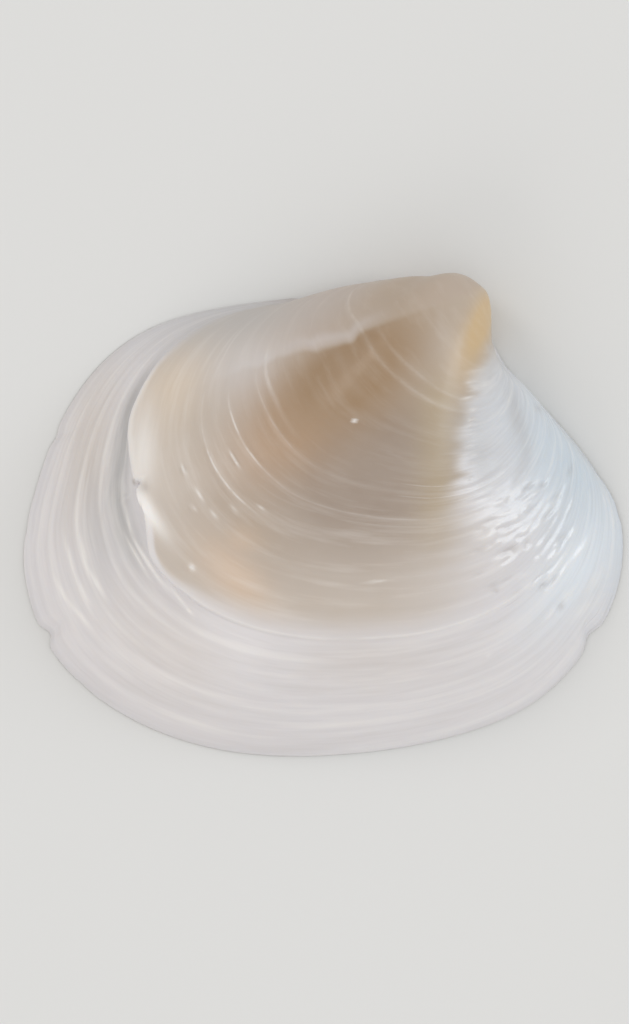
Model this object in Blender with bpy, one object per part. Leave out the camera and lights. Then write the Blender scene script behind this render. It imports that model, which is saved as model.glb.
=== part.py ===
"""Right valve of a small bivalve seashell, lying on its edge with the outside up.

The valve is drawn the way it grew. One growing edge, an outline in the plane where the two
valves met, is carried back to the beak. At every smaller size it is scaled down, rolled up
about the hinge, turned a little in plan and slid along the hinge. The family of edges is the
outer face. The inner face is the same surface drawn in towards the middle of the cavity, and
a flat land joins the two along the edge and the hinge.

Shapes are worked out in millimetres from the beak, with X towards the front end, Y towards
the hinge side and Z up, and are put into the mesh in metres.
"""
import math

import bmesh
import bpy
import numpy as np

MM = 0.001

# Driving dimensions
SHELL_LENGTH = 8.0
RIM_WIDTH_SHARE = 0.075
HINGE_WIDTH_SHARE = 0.10
CROWN_THICKNESS_SHARE = 0.13

# Outline of the finished edge, from the beak round the front, the lower side and the rear
# to the rear end of the hinge
EDGE = (
    (0.00, 0.00),
    (0.25, -0.43),
    (0.62, -0.84),
    (1.04, -1.28),
    (1.43, -1.79),
    (1.71, -2.30),
    (1.78, -2.85),
    (1.65, -3.52),
    (1.25, -4.22),
    (0.68, -4.81),
    (-0.46, -5.32),
    (-2.14, -5.58),
    (-3.47, -5.53),
    (-4.49, -5.24),
    (-5.26, -4.80),
    (-5.86, -4.18),
    (-6.18, -3.41),
    (-6.24, -2.90),
    (-6.10, -2.10),
    (-5.74, -1.12),
    (-5.25, -0.40),
    (-4.65, 0.07),
    (-3.77, 0.37),
    (-2.66, 0.53),
)

# How an edge of a smaller size lay: share of full size, roll up about the hinge in degrees,
# slide along the hinge and lift beyond it in millimetres
GROWTH = (
    (0.00, 176.0, -0.33, 0.00),
    (0.05, 165.0, -0.33, 0.03),
    (0.10, 150.0, -0.34, 0.08),
    (0.15, 128.0, -0.36, 0.17),
    (0.20, 105.0, -0.36, 0.26),
    (0.25, 84.0, -0.36, 0.31),
    (0.32, 62.0, -0.33, 0.32),
    (0.40, 48.0, -0.28, 0.30),
    (0.48, 41.0, -0.22, 0.25),
    (0.57, 35.0, -0.15, 0.175),
    (0.77, 19.5, -0.07, 0.075),
    (1.00, 0.0, 0.00, 0.00),
)
HINGE_TURN = 12.0
EARLY_TURN = 20.0

# How much later the front and the rear lower corner came out, and where along the edge
FRONT_LAG = 0.26
FRONT_LAG_END = (0.18, 0.40)
CORNER_LAG = 0.08
CORNER_PLACE = 0.67
CORNER_HALF_WIDTH = 0.09

# Part of the edge that the lift beyond the hinge acts on
LIFTED_PART = (0.3, 0.7)

# Small breaks in the finished edge: place along it as a share, depth and half width in
# millimetres, and the size from which they cut in
EDGE_BREAKS = (
    (0.238, 0.085, 0.16),
    (0.662, 0.095, 0.11),
    (0.802, 0.030, 0.10),
)
BREAK_START = 0.93

# Relief on the outer face, in millimetres: the old edge that stands over later growth, the
# groove outside it, and the ridges left by growth pauses as size share and height
LEDGE_SIZE = 0.772
LEDGE_RUN = 0.14
LEDGE_HEIGHT = 0.13
LEDGE_FRONT_HEIGHT = 0.02
GROOVE_OFFSET = 0.018
GROOVE_HALF_WIDTH = 0.016
GROOVE_DEPTH = 0.05
RIDGES = (
    (0.285, 0.012),
    (0.312, 0.016),
    (0.410, 0.012),
    (0.475, 0.020),
    (0.520, 0.016),
    (0.565, 0.026),
    (0.622, 0.028),
    (0.660, 0.020),
    (0.700, 0.020),
    (0.822, 0.024),
    (0.862, 0.028),
    (0.900, 0.032),
    (0.936, 0.028),
    (0.966, 0.018),
)
RIDGE_HALF_WIDTH = 0.011
FRONT_RIDGE_STRENGTH = 0.30

# Where along the edge the rear part and the lower part begin and end, and the height in
# millimetres over which relief comes in above the flat edge
REAR_PART = (0.52, 0.68, 0.80, 0.89)
LOWER_PART = (0.22, 0.36, 0.90, 0.98)
RELIEF_START = (0.02, 0.25)

# Middle of the cavity in plan, towards which the inner face is drawn in
CAVITY_CENTRE = (-1.87, -2.17)

# Hinge plate: two sockets that leave a low tooth between them under the beak, and the groove
# of the ligament behind it: middle, turn in degrees, half length, half width and depth
HINGE_HOLLOWS = {
    "front_socket": (-0.22, -0.13, 56.0, 0.15, 0.050, 0.09),
    "rear_socket": (-0.61, 0.19, 54.0, 0.17, 0.055, 0.09),
    "ligament_groove": (-1.45, 0.49, 1.0, 0.56, 0.045, 0.06),
}

# Mesh density: even columns round the edge, how far they keep from a break in half widths,
# rows of the inner face, rows of the outer face besides those at its ridges and ledge, and
# segments of a hollow
OUTER_COLUMNS = 54
BREAK_CLEARANCE = 1.6
INNER_ROWS = 16
PLAIN_ROWS = (0.03, 0.06, 0.09, 0.12, 0.15, 0.18, 0.21, 0.24, 0.36, 0.44, 0.74, 0.76, 0.985, 1.0)
RIDGE_FOOT = 1.3 * RIDGE_HALF_WIDTH
LEDGE_LIP = 0.004
HOLLOW_SEGMENTS = 14
SMALL_STEP = 1e-4
SHARP_ANGLE = math.radians(35.0)

# Colour and finish
SHELL_COLOUR = (0.80, 0.73, 0.64, 1.0)
SHELL_ROUGHNESS = 0.35


def smooth_curve(knots, values, at):
    """Natural cubic spline through values at rising knots, read at the places given."""
    knots = np.asarray(knots, float)
    values = np.asarray(values, float)
    at = np.asarray(at, float)
    gaps = np.diff(knots)
    slopes = (np.diff(values, axis=0).T / gaps).T
    count = len(knots)
    matrix = np.eye(count)
    right = np.zeros_like(values)
    for i in range(1, count - 1):
        matrix[i, i - 1] = gaps[i - 1]
        matrix[i, i] = 2.0 * (gaps[i - 1] + gaps[i])
        matrix[i, i + 1] = gaps[i]
        right[i] = 3.0 * (slopes[i] - slopes[i - 1])
    bend = np.linalg.solve(matrix, right)
    i = np.clip(np.searchsorted(knots, at, side="right") - 1, 0, count - 2)
    step = at - knots[i]
    gap = gaps[i]
    if values.ndim == 2:
        step = step[..., None]
        gap = gap[..., None]
    start_slope = slopes[i] - gap * (2.0 * bend[i] + bend[i + 1]) / 3.0
    rise = (bend[i + 1] - bend[i]) / (3.0 * gap)
    return values[i] + step * (start_slope + step * (bend[i] + step * rise))


def blend(low, high, x):
    """Smooth step from 0 at low to 1 at high."""
    t = np.clip((x - low) / (high - low), 0.0, 1.0)
    return t * t * (3.0 - 2.0 * t)


def bump(x, middle, half_width):
    """Rounded bump of height 1."""
    return np.exp(-((x - middle) / half_width) ** 2)


def edge_outline(share, size):
    """Points of the edge at shares of its length, with its small breaks near full size."""
    points = np.array(EDGE)
    steps = np.hypot(*np.diff(points, axis=0).T)
    knots = np.concatenate([[0.0], np.cumsum(steps)])
    length = knots[-1]
    outline = smooth_curve(knots, points, share * length)
    inward = np.array(CAVITY_CENTRE) - outline
    inward /= np.linalg.norm(inward, axis=-1, keepdims=True)
    depth = 0.0
    for place, deep, half_width in EDGE_BREAKS:
        depth = depth + deep * bump(share, place, half_width / length)
    depth = depth * blend(BREAK_START, 1.0, size)
    return outline + inward * depth[..., None]


def along_and_across(points, turn):
    """Distances along the hinge line and away from it, for a hinge turned in plan."""
    along = points[..., 0] * math.cos(turn) - points[..., 1] * math.sin(turn)
    across = -points[..., 0] * math.sin(turn) - points[..., 1] * math.cos(turn)
    return along, across


def growth_surface(size, share):
    """Outer face without relief, for arrays of size share and edge share of one shape."""
    turn = math.radians(HINGE_TURN)
    outline = edge_outline(share, size)
    full_depth = along_and_across(np.array(EDGE), turn)[1].max()
    lag = 1.0 + FRONT_LAG * (1.0 - blend(*FRONT_LAG_END, share))
    lag = lag + CORNER_LAG * bump(share, CORNER_PLACE, CORNER_HALF_WIDTH)
    scale = np.maximum(size, 1e-9) ** lag
    along, across = along_and_across(outline, turn)
    table = np.array(GROWTH)
    roll, slide, lift = np.moveaxis(smooth_curve(table[:, 0], table[:, 1:], size), -1, 0)
    roll = np.radians(roll)
    lifted = np.clip(1.0 - across / full_depth, 0.0, 1.0) ** 2 * blend(*LIFTED_PART, share)
    along = scale * along + slide
    height = scale * across * np.sin(roll)
    across = scale * across * np.cos(roll) - lift * lifted
    turn = np.radians(HINGE_TURN + EARLY_TURN * (1.0 - size) ** 2)
    x = along * np.cos(turn) - across * np.sin(turn)
    y = -along * np.sin(turn) - across * np.cos(turn)
    return np.stack([x, y, np.maximum(height, 0.0)], axis=-1)


def part_of_edge(span, share):
    """Weight that comes in between the first two shares of span and leaves between the last."""
    return blend(span[0], span[1], share) * (1.0 - blend(span[2], span[3], share))


def relief(size, share, height):
    """Height of ledge, groove and ridges over the plain outer face."""
    rear = part_of_edge(REAR_PART, share)
    lower = part_of_edge(LOWER_PART, share)
    ledge = LEDGE_FRONT_HEIGHT * lower + (LEDGE_HEIGHT - LEDGE_FRONT_HEIGHT) * rear
    raised = blend(LEDGE_SIZE - LEDGE_RUN, LEDGE_SIZE, size) * (size <= LEDGE_SIZE)
    groove = bump(size, LEDGE_SIZE + GROOVE_OFFSET, GROOVE_HALF_WIDTH) * (size > LEDGE_SIZE)
    rise = ledge * raised - GROOVE_DEPTH * rear * groove
    strength = FRONT_RIDGE_STRENGTH + (1.0 - FRONT_RIDGE_STRENGTH) * rear
    for place, tall in RIDGES:
        rise = rise + tall * strength * bump(size, place, RIDGE_HALF_WIDTH)
    return rise * blend(*RELIEF_START, height)


def outer_face(size, share):
    """Outer face with its relief, raised along the surface's normal."""
    base = growth_surface(size, share)
    later = growth_surface(np.minimum(size + SMALL_STEP, 1.0), share)
    earlier = growth_surface(np.maximum(size - SMALL_STEP, 0.0), share)
    ahead = growth_surface(size, np.minimum(share + SMALL_STEP, 1.0))
    behind = growth_surface(size, np.maximum(share - SMALL_STEP, 0.0))
    normal = np.cross(ahead - behind, later - earlier)
    normal /= np.linalg.norm(normal, axis=-1, keepdims=True) + 1e-12
    rise = relief(size, share, base[..., 2])
    face = base + normal * rise[..., None]
    face[..., 2] = np.where(base[..., 2] > 0.0, np.maximum(face[..., 2], 0.0), 0.0)
    return face


def inner_face(size, share):
    """Inner face: the plain outer face drawn in towards the middle of the cavity."""
    face = growth_surface(size, share)
    middle = np.array(CAVITY_CENTRE)
    towards_hinge = np.clip((face[..., 1] - middle[1]) / -middle[1], 0.0, 1.0)
    keep = 1.0 - RIM_WIDTH_SHARE - HINGE_WIDTH_SHARE * towards_hinge ** 2
    face[..., :2] = middle + (face[..., :2] - middle) * keep[..., None]
    face[..., 2] *= 1.0 - CROWN_THICKNESS_SHARE
    return face


def outer_sizes():
    """Sizes at which the outer face has a row, closer together at ridges and ledge."""
    sizes = list(PLAIN_ROWS)
    for place, _ in RIDGES:
        sizes.extend((place - RIDGE_FOOT, place, place + RIDGE_FOOT))
    sizes.extend((LEDGE_SIZE - LEDGE_LIP, LEDGE_SIZE, LEDGE_SIZE + LEDGE_LIP))
    sizes.extend((LEDGE_SIZE + GROOVE_OFFSET, LEDGE_SIZE + 2.0 * GROOVE_OFFSET))
    return np.array(sorted(sizes))


def edge_shares():
    """Shares at which a face has a column: even steps, and three columns at each break."""
    shares = np.linspace(0.0, 1.0, OUTER_COLUMNS + 1)
    length = np.hypot(*np.diff(np.array(EDGE), axis=0).T).sum()
    for place, _, half_width in EDGE_BREAKS:
        side = half_width / length
        shares = shares[np.abs(shares - place) > BREAK_CLEARANCE * side]
        shares = np.append(shares, (place - side, place, place + side))
    return np.sort(shares)


def add_sheet(mesh, face, sizes, faces_up):
    """One face of the valve as quads with a fan at the beak; returns its border loop."""
    share = edge_shares()
    grid = face(*np.meshgrid(sizes, share, indexing="ij"))
    tip = mesh.verts.new(face(np.zeros(1), np.zeros(1))[0])
    verts = [[mesh.verts.new(point) for point in row] for row in grid]
    for j in range(len(share) - 1):
        corners = [tip, verts[0][j + 1], verts[0][j]]
        mesh.faces.new(reversed(corners) if faces_up else corners)
        for i in range(len(sizes) - 1):
            corners = [verts[i][j], verts[i][j + 1], verts[i + 1][j + 1], verts[i + 1][j]]
            mesh.faces.new(reversed(corners) if faces_up else corners)
    front = [row[0] for row in verts]
    rear = [row[-1] for row in reversed(verts)]
    return [tip] + front + verts[-1][1:-1] + rear


def shell_mesh():
    """Closed mesh of the valve: the two faces, and the flat land between their borders."""
    mesh = bmesh.new()
    inner_sizes = np.linspace(0.0, 1.0, INNER_ROWS + 1)[1:]
    loops = (
        add_sheet(mesh, outer_face, outer_sizes(), True),
        add_sheet(mesh, inner_face, inner_sizes, False),
    )
    edges = []
    for loop in loops:
        for k in range(len(loop)):
            edges.append(mesh.edges.get((loop[k - 1], loop[k])))
    bmesh.ops.triangle_fill(mesh, use_beauty=True, use_dissolve=False, edges=edges)
    bmesh.ops.recalc_face_normals(mesh, faces=mesh.faces)
    return mesh


def to_frame(points, centre):
    """Millimetres from the beak to metres from the middle of the underside."""
    outline = edge_outline(np.linspace(0.0, 1.0, 400), np.ones(400))
    scale = MM * SHELL_LENGTH / np.ptp(outline[:, 0])
    return (points - np.array([centre[0], centre[1], 0.0])) * scale


def shell_material():
    material = bpy.data.materials.new("shell")
    material.use_nodes = True
    shader = material.node_tree.nodes["Principled BSDF"]
    shader.inputs["Base Color"].default_value = SHELL_COLOUR
    shader.inputs["Roughness"].default_value = SHELL_ROUGHNESS
    shader.inputs["Metallic"].default_value = 0.0
    return material


def new_collection(name):
    collection = bpy.data.collections.new(name)
    bpy.context.scene.collection.children.link(collection)
    return collection


def add_valve(collection):
    """The valve object, and the middle of its plan in millimetres from the beak."""
    mesh = shell_mesh()
    points = np.array([vert.co for vert in mesh.verts])
    centre = (points.max(axis=0) + points.min(axis=0)) / 2.0
    for vert, place in zip(mesh.verts, to_frame(points, centre)):
        vert.co = place
    data = bpy.data.meshes.new("right_valve")
    mesh.to_mesh(data)
    mesh.free()
    data.materials.append(shell_material())
    data.shade_smooth()
    data.set_sharp_from_angle(angle=SHARP_ANGLE)
    valve = bpy.data.objects.new("right_valve", data)
    collection.objects.link(valve)
    return valve, centre


def add_hollow(name, collection, centre):
    """Stretched ball that cuts a socket or groove into the flat of the hinge plate."""
    x, y, turn, half_length, half_width, depth = HINGE_HOLLOWS[name]
    place = to_frame(np.array([x, y, 0.0]), centre)
    rings = HOLLOW_SEGMENTS // 2
    mesh = bmesh.new()
    bmesh.ops.create_uvsphere(mesh, u_segments=HOLLOW_SEGMENTS, v_segments=rings, radius=MM)
    for vert in mesh.verts:
        vert.co.x *= half_length
        vert.co.y *= half_width
        vert.co.z *= depth
    data = bpy.data.meshes.new(name)
    mesh.to_mesh(data)
    mesh.free()
    hollow = bpy.data.objects.new(name, data)
    hollow.location = place
    hollow.rotation_euler.z = math.radians(turn)
    hollow.hide_render = True
    hollow.display_type = "WIRE"
    collection.objects.link(hollow)
    return hollow


def main():
    for thing in list(bpy.data.objects):
        bpy.data.objects.remove(thing)
    shell = new_collection("eugaimardia_shell")
    cutters = new_collection("cutters")
    valve, centre = add_valve(shell)
    for name in HINGE_HOLLOWS:
        cut = valve.modifiers.new(name, "BOOLEAN")
        cut.operation = "DIFFERENCE"
        cut.solver = "EXACT"
        cut.object = add_hollow(name, cutters, centre)


main()
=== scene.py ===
"""Right valve of a small bivalve seashell: its fine surface, its finish and a plain stage.

The valve is worked out from the way it grew. One growing edge is carried back to the beak,
smaller, rolled up and turned about the hinge. A point of the outer face has two numbers: size,
the share of full size at which the edge passed there, and share, its place along the edge from
the beak round the front, the lower side and the rear. Shapes are worked out in millimetres from
the beak, X to the front end, Y to the hinge side and Z up, and are then set into the box of the
solid.
"""
import math

import bmesh
import bpy
import numpy as np
from bpy.props import FloatProperty, FloatVectorProperty, PointerProperty
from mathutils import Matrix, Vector


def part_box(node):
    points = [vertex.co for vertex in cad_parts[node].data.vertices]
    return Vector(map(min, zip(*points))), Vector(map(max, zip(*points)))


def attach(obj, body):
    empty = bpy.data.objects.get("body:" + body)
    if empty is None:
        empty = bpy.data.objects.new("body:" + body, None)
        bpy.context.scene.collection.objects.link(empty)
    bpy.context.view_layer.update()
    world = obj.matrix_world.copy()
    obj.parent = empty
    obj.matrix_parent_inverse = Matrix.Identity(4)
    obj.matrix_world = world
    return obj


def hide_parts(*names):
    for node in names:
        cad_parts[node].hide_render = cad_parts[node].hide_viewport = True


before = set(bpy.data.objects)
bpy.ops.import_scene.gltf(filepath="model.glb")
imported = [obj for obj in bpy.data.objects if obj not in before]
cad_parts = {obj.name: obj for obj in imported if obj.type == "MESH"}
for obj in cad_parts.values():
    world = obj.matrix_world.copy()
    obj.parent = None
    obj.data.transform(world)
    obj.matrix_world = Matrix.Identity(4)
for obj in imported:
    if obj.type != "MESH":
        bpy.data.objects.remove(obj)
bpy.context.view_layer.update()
VALVE_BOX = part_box("right_valve")

bl_info = {
    "name": "Bivalve Shell Valve",
    "version": (1, 0, 0),
    "blender": (4, 5, 0),
    "location": "View3D > Sidebar > Shell",
    "description": "Grows one valve of a small seashell and sets it on a plain stage",
    "category": "Add Mesh",
}

MM = 0.001

# Outline of the finished edge in the plane where the valves met
EDGE = (
    (0.00, 0.00),
    (0.25, -0.43),
    (0.62, -0.84),
    (1.04, -1.28),
    (1.43, -1.79),
    (1.71, -2.30),
    (1.78, -2.85),
    (1.65, -3.52),
    (1.25, -4.22),
    (0.68, -4.81),
    (-0.46, -5.32),
    (-2.14, -5.58),
    (-3.47, -5.53),
    (-4.49, -5.24),
    (-5.26, -4.80),
    (-5.86, -4.18),
    (-6.18, -3.41),
    (-6.24, -2.90),
    (-6.10, -2.10),
    (-5.74, -1.12),
    (-5.25, -0.40),
    (-4.65, 0.07),
    (-3.77, 0.37),
    (-2.66, 0.53),
)

# How an edge of a smaller size lay: size, roll up about the hinge in degrees, slide along the
# hinge and lift beyond it in millimetres, where the lift comes in over LIFTED_PART in share
GROWTH = (
    (0.00, 176.0, -0.33, 0.00),
    (0.05, 165.0, -0.33, 0.03),
    (0.10, 150.0, -0.34, 0.08),
    (0.15, 128.0, -0.36, 0.17),
    (0.20, 105.0, -0.36, 0.26),
    (0.25, 84.0, -0.36, 0.31),
    (0.32, 62.0, -0.33, 0.32),
    (0.40, 48.0, -0.28, 0.30),
    (0.48, 41.0, -0.22, 0.25),
    (0.57, 35.0, -0.15, 0.175),
    (0.77, 19.5, -0.07, 0.075),
    (1.00, 0.0, 0.00, 0.00),
)
LIFTED_PART = (0.3, 0.7)

# Turn of the hinge in plan in degrees, and the further turn of the youngest edge
HINGE_TURN = 12.0
EARLY_TURN = 20.0

# How much later than size the front and the rear lower corner grew, as powers of size above 1,
# the shares over which the front's fades out, and the corner's place and half width in share
FRONT_LAG = 0.26
FRONT_LAG_END = (0.18, 0.40)
CORNER_LAG = 0.08
CORNER_PLACE = 0.67
CORNER_HALF_WIDTH = 0.09

# Least size and length, which keep powers and divisions sound
LEAST_SIZE = 1e-9
LEAST_LENGTH = 1e-12

# Drift of the growth lines against size: that of the young shell at the front with the sizes
# over which it fades, that of the later shell at the front with the sizes over which it comes
# in, that near the ledge at the upper rear with its middle and half width in size, and the
# shares over which the front's fade out and the rear's comes in
YOUNG_DRIFT = 0.08
YOUNG_DRIFT_END = (0.38, 0.62)
LATER_DRIFT = 0.010
LATER_DRIFT_START = (0.60, 0.77)
REAR_DRIFT = 0.022
REAR_DRIFT_SIZES = (0.80, 0.12)
FRONT_DRIFT_SHARES = (0.20, 0.68)
REAR_DRIFT_SHARES = (0.73, 0.82)

# Small breaks in the finished edge: share, depth and half width in millimetres, and the size
# from which they show
EDGE_BREAKS = (
    (0.238, 0.085, 0.16),
    (0.662, 0.095, 0.11),
    (0.802, 0.030, 0.10),
    (0.120, 0.014, 0.05),
    (0.150, 0.016, 0.06),
    (0.620, 0.012, 0.12),
    (0.736, 0.012, 0.14),
)
BREAK_START = 0.93

# Ledge, the old edge that stands over later growth: its size, the run in size of the rise to
# it and of the drop beyond it, its height at the front as a share of that at the rear, and how
# far, in how many random steps and from which seed it wanders
LEDGE_SIZE = 0.773
LEDGE_RUN = 0.14
LEDGE_DROP = 0.009
LEDGE_FRONT_SHARE = 0.15
LEDGE_WANDER = 0.0015
LEDGE_WANDER_STEPS = 70
LEDGE_SEED = 31

# Groove outside the ledge: its distance and half width in size, and its depth as a share of
# the ledge's height
GROOVE_OFFSET = 0.022
GROOVE_HALF_WIDTH = 0.020
GROOVE_SHARE = 0.35

# Sizes and heights in millimetres over which all relief comes in, away from beak and rim
RELIEF_SIZES = (0.02, 0.30)
RELIEF_HEIGHTS = (0.02, 0.25)

# Stretches of the edge in share, or of plan in x, where something shows: the first two places
# are where it comes in and the last two where it leaves
PARTS = {
    "ledge_tall": (0.52, 0.68, 0.80, 0.89),
    "ledge_low": (0.22, 0.36, 0.90, 0.98),
    "ledge_crisp": (0.54, 0.64, 0.80, 0.87),
    "ledge_rim": (0.62, 0.68, 0.80, 0.86),
    # Where the painted shade in the groove outside the ledge shows
    "groove_shade": (0.62, 0.69, 0.80, 0.88),
    "front_slope": (0.10, 0.20, 0.32, 0.37),
    "crown_x": (-3.0, -2.3, -1.9, -1.2),
    "crown_step_x": (-1.58, -1.92, -2.0, -2.6),
}

# Smooth steps of the colour zones, each from where it is 0 to where it is 1, in size, age or
# share, or in plan in x or y
STEPS = {
    "front_softens_y": (-1.7, -3.1),
    "front_starts_y": (0.10, -0.45),
    "slope_x": (-3.6, -2.2),
    "ray_starts_y": (-0.1, -0.9),
    "ray_fades_y": (-2.2, -3.2),
    "umbo_ends_size": (0.20, 0.42),
    "umbo_rear_share": (0.66, 0.86),
    # Where the umbo pales towards the front, partly painted light
    "umbo_lit_front_x": (-1.4, -0.5),
    # Where the painted shade in the pits shows
    "pit_shade_x": (-2.0, -1.0),
    "middle_age": (0.50, 0.62),
    "later_age": (0.77, 0.80),
}

# Chips out of the ledge: share, depth in size and half width in share, where a depth below 0
# is a corner that stands out
LEDGE_CHIPS = (
    (0.679, 0.024, 0.020),
    (0.705, 0.003, 0.006),
    (0.708, 0.008, 0.003),
    (0.713, 0.015, 0.020),
    (0.735, 0.007, 0.015),
    (0.752, 0.003, 0.008),
    (0.780, -0.002, 0.010),
    (0.815, 0.006, 0.014),
)

# Part of the front border under the beak that is drawn straight: up to this size, faded out at
# this share
STRAIGHT_FRONT = (0.37, 0.04)

# Pale fold behind the ledge below its chip, in plan in millimetres: x, y, half length, half
# width and turn, its height, and the strength of its colour, pale shell with a painted highlight
FOLD = (-4.55, -2.34, 0.38, 0.10, -54.0)
FOLD_HEIGHT = 0.034
FOLD_PALE_AND_HIGHLIGHT = 1.1

# Ridges left by growth pauses: age, height in millimetres, half width in age, and the shares
# between which the ridge stands
RIDGES = (
    (0.221, 0.003, 0.0045, 0.26, 0.56),
    (0.277, 0.004, 0.0040, 0.28, 0.63),
    (0.298, 0.008, 0.0040, 0.27, 0.84),
    (0.345, 0.003, 0.0070, 0.24, 0.78),
    (0.400, 0.003, 0.0070, 0.24, 0.78),
    (0.471, 0.009, 0.0045, 0.61, 0.75),
    (0.493, 0.007, 0.0045, 0.24, 0.73),
    (0.514, 0.005, 0.0045, 0.22, 0.46),
    (0.556, 0.009, 0.0045, 0.32, 0.73),
    (0.590, 0.003, 0.0060, 0.50, 0.74),
    (0.618, 0.009, 0.0045, 0.58, 0.74),
    (0.668, 0.004, 0.0060, 0.24, 0.70),
    (0.712, 0.003, 0.0070, 0.24, 0.66),
    (0.790, 0.010, 0.0050, 0.56, 0.73),
    (0.812, 0.006, 0.0060, 0.50, 0.88),
    (0.834, 0.014, 0.0075, 0.57, 0.86),
    (0.858, 0.006, 0.0060, 0.60, 0.88),
    (0.884, 0.015, 0.0080, 0.60, 0.86),
    (0.909, 0.013, 0.0075, 0.61, 0.86),
    (0.926, 0.006, 0.0050, 0.62, 0.84),
    (0.944, 0.012, 0.0065, 0.62, 0.84),
    (0.964, 0.008, 0.0060, 0.62, 0.84),
    (0.825, 0.004, 0.0130, 0.24, 0.56),
    (0.868, 0.005, 0.0140, 0.16, 0.58),
    (0.914, 0.005, 0.0140, 0.12, 0.60),
    (0.956, 0.005, 0.0120, 0.10, 0.60),
)
RIDGE_END = 0.035

# Unevenness of the ridges: mean height, its variation, the wander in age, the random steps
# along the edge for both, and the first seed of both
RIDGE_MEAN = 0.75
RIDGE_UNEVEN = 0.35
RIDGE_WANDER = 0.0015
RIDGE_STEPS = (24, 16)
RIDGE_SEEDS = (100, 200)

# Fine growth lines in three sets: how many over all ages, random steps along the edge, seed,
# and height at large, added on the front slope and added at the rear over the ages below
FINE_LINES = (
    (38, 16, 1, 0.10, 1.30, 0.60),
    (74, 24, 2, 0.08, 0.80, 0.45),
    (130, 40, 3, 0.10, 0.00, 0.00),
)
FINE_REAR_AGES = (0.76, 0.80)

# Thin pale growth lines: age, half width in age, the shares between which the line shows, and
# its strength, then for all of them the share over which an end fades, the wander in age, the
# noise between which gaps fill up, and what is left of a line in a gap
LINES = (
    (0.221, 0.0030, 0.27, 0.50, 0.05),
    (0.277, 0.0030, 0.29, 0.60, 0.08),
    (0.298, 0.0032, 0.62, 0.83, 0.14),
    (0.298, 0.0028, 0.28, 0.60, 0.07),
    (0.471, 0.0050, 0.68, 0.76, 0.30),
    (0.473, 0.0020, 0.34, 0.42, 0.26),
    (0.493, 0.0022, 0.56, 0.72, 0.16),
    (0.503, 0.0020, 0.30, 0.42, 0.30),
    (0.520, 0.0020, 0.26, 0.37, 0.26),
    (0.556, 0.0024, 0.62, 0.71, 0.70),
    (0.556, 0.0020, 0.36, 0.60, 0.13),
    (0.572, 0.0020, 0.36, 0.48, 0.12),
    (0.618, 0.0022, 0.60, 0.70, 0.75),
    (0.618, 0.0030, 0.72, 0.76, 0.18),
    (0.775, 0.0034, 0.29, 0.60, 0.38),
    (0.790, 0.0032, 0.61, 0.72, 0.50),
    (0.834, 0.0040, 0.60, 0.80, 0.30),
    (0.884, 0.0040, 0.62, 0.80, 0.30),
    (0.944, 0.0040, 0.63, 0.80, 0.25),
)
LINE_END = 0.03
LINE_WANDER = 0.006
LINE_GAPS = (0.32, 0.62)
LINE_LEAST = 0.25

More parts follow.
